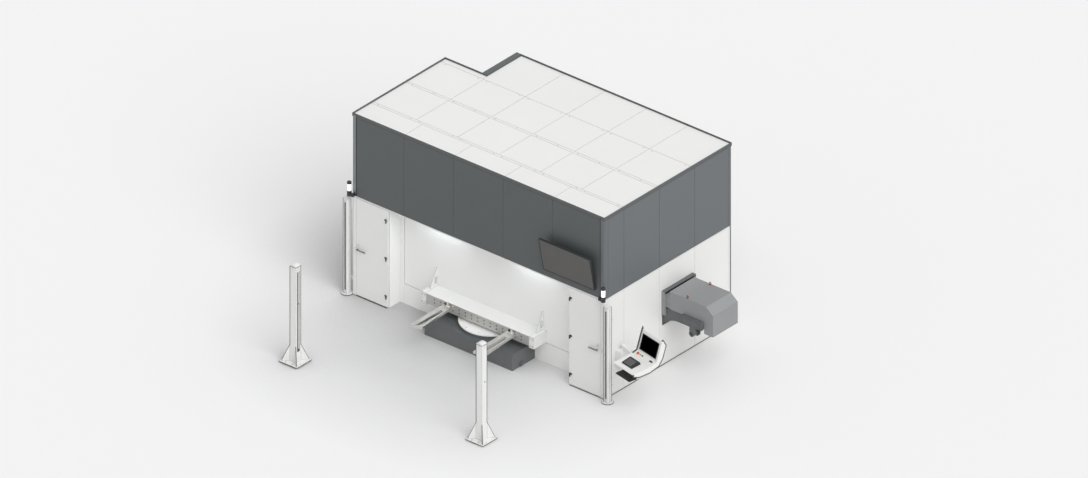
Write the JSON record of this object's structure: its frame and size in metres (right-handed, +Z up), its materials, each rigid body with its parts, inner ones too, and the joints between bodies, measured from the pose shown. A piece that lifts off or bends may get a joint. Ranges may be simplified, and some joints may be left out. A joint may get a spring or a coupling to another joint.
{
  "type": "laser cutting machine",
  "caption": "Cabin laser cutting cell: rotary table in a front bay, gantry with tilting head inside, side doors, swing console, overhead display, scrap conveyor and light-barrier posts.",
  "frame": {"origin": "on the floor under the axis of the rotary table, in the middle of the loading bay", "axes": "+X to the right along the front, +Y to the back of the cabin, +Z up"},
  "size_m": [7.543, 6.48, 3.88],
  "materials": {
    "white_paint": "satin powder coat",
    "grey_paint": "satin powder coat",
    "dark_grey_paint": "satin powder coat",
    "hood_paint": "satin powder coat",
    "steel": "brushed",
    "black_plastic": "matte",
    "dark_glass": "glossy panel",
    "lit_lens": "translucent, lit",
    "red_paint": "gloss",
    "red_plastic": "gloss"
  },
  "bodies": {
    "cabin": {"cabin_frame": "white_paint", "corner_posts": "white_paint", "upper_posts": "grey_paint", "portal_frame": "grey_paint", "axis_rails": "steel", "fascia_panels": "grey_paint", "upper_panels": "grey_paint", "lower_panels": "white_paint", "roof_panels": "white_paint", "roof_rim": "grey_paint", "bay_walls": "white_paint", "bay_sill": "white_paint", "bay_soffit": "white_paint", "bay_lights": "lit_lens", "door_hardware": "black_plastic", "table_base": "dark_grey_paint", "slew_ring": "steel", "lamp_housings": "black_plastic", "lamp_lenses": "lit_lens", "display_bracket": "black_plastic", "display_housing": "black_plastic", "display_screen": "dark_glass", "light_posts": "white_paint", "mirror_columns": "white_paint", "barrier_glass": "dark_glass", "levelling_screws": "steel", "conveyor_flange": "hood_paint", "conveyor_trough": "dark_grey_paint", "conveyor_belt": "steel", "conveyor_hood": "hood_paint", "conveyor_gear_cover": "dark_grey_paint", "conveyor_motor": "grey_paint", "lifting_eyes": "red_paint", "console_wall_box": "white_paint"},
    "table": {"turntable_disc": "white_paint", "partition_frame": "white_paint", "partition_skins": "white_paint", "fixture_beams": "white_paint", "hole_plates": "steel", "end_brackets": "white_paint", "fixture_arms": "steel", "arm_knobs": "black_plastic"},
    "left_door": {"left_door": "white_paint", "left_door_hinges": "black_plastic"},
    "left_lever": {"left_lever": "steel"},
    "right_door": {"right_door": "white_paint", "right_door_hinges": "black_plastic"},
    "right_lever": {"right_lever": "steel"},
    "bridge": {"bridge": "grey_paint"},
    "carriage": {"carriage": "dark_grey_paint"},
    "ram": {"ram": "white_paint"},
    "wrist": {"wrist": "dark_grey_paint"},
    "laser_head": {"laser_head": "steel"},
    "console_arm": {"console_arm": "white_paint"},
    "console": {"console_shell": "white_paint", "console_screen": "dark_glass", "console_keyboard": "black_plastic"},
    "keyboard_tray": {"keyboard_tray": "black_plastic"},
    "estop": {"estop_button": "red_plastic"},
    "conveyor_drum": {"conveyor_drum": "steel"}
  },
  "joints": [
    {"name": "table_turn", "type": "hinge", "parent": "cabin", "child": "table", "pos_m": [0, 0, 0.345], "axis": [0, 0, 1], "range_deg": [0, 180]},
    {"name": "left_door_swing", "type": "hinge", "parent": "cabin", "child": "left_door", "pos_m": [-2.22, -0.396, 1.05], "axis": [0, 0, 1], "range_deg": [0, 100]},
    {"name": "left_lever_turn", "type": "hinge", "parent": "left_door", "child": "left_lever", "pos_m": [-2.896, -0.38, 1.02], "axis": [0, 1, 0], "range_deg": [0, 60]},
    {"name": "right_door_swing", "type": "hinge", "parent": "cabin", "child": "right_door", "pos_m": [2.22, -0.396, 1.05], "axis": [0, 0, 1], "range_deg": [-100, 0]},
    {"name": "right_lever_turn", "type": "hinge", "parent": "right_door", "child": "right_lever", "pos_m": [2.896, -0.38, 1.02], "axis": [0, 1, 0], "range_deg": [-60, 0]},
    {"name": "bridge_travel", "type": "slide", "parent": "cabin", "child": "bridge", "axis": [1, 0, 0], "range_m": [-1.8, 2.4]},
    {"name": "carriage_travel", "type": "slide", "parent": "bridge", "child": "carriage", "axis": [0, 1, 0], "range_m": [-0.58, 1.7]},
    {"name": "ram_travel", "type": "slide", "parent": "carriage", "child": "ram", "axis": [0, 0, 1], "range_m": [-0.78, 0]},
    {"name": "wrist_turn", "type": "hinge", "parent": "ram", "child": "wrist", "pos_m": [0.36, 1, 2.39], "axis": [0, 0, 1], "continuous": true},
    {"name": "head_tilt", "type": "hinge", "parent": "wrist", "child": "laser_head", "pos_m": [0.36, 1, 2.2666], "axis": [0, 1, 0], "range_deg": [-110, 110]},
    {"name": "arm_swing", "type": "hinge", "parent": "cabin", "child": "console_arm", "pos_m": [3.135, 0.085, 0.95], "axis": [0, 0, 1], "range_deg": [-10, 25]},
    {"name": "console_swivel", "type": "hinge", "parent": "console_arm", "child": "console", "pos_m": [3.909, -0.228, 1], "axis": [0, 0, 1], "range_deg": [-20, 20]},
    {"name": "tray_pull", "type": "slide", "parent": "console", "child": "keyboard_tray", "axis": [0.213, 0.977, 0], "range_m": [0, 0.18]},
    {"name": "estop_press", "type": "slide", "parent": "console", "child": "estop", "axis": [-0.0756, -0.3468, 0.9349], "range_m": [-0.005, 0], "stiffness_N_per_m": 2000},
    {"name": "drum_turn", "type": "hinge", "parent": "cabin", "child": "conveyor_drum", "pos_m": [3.882, 1.64, 1.1575], "axis": [0, 1, 0], "continuous": true}
  ]
}
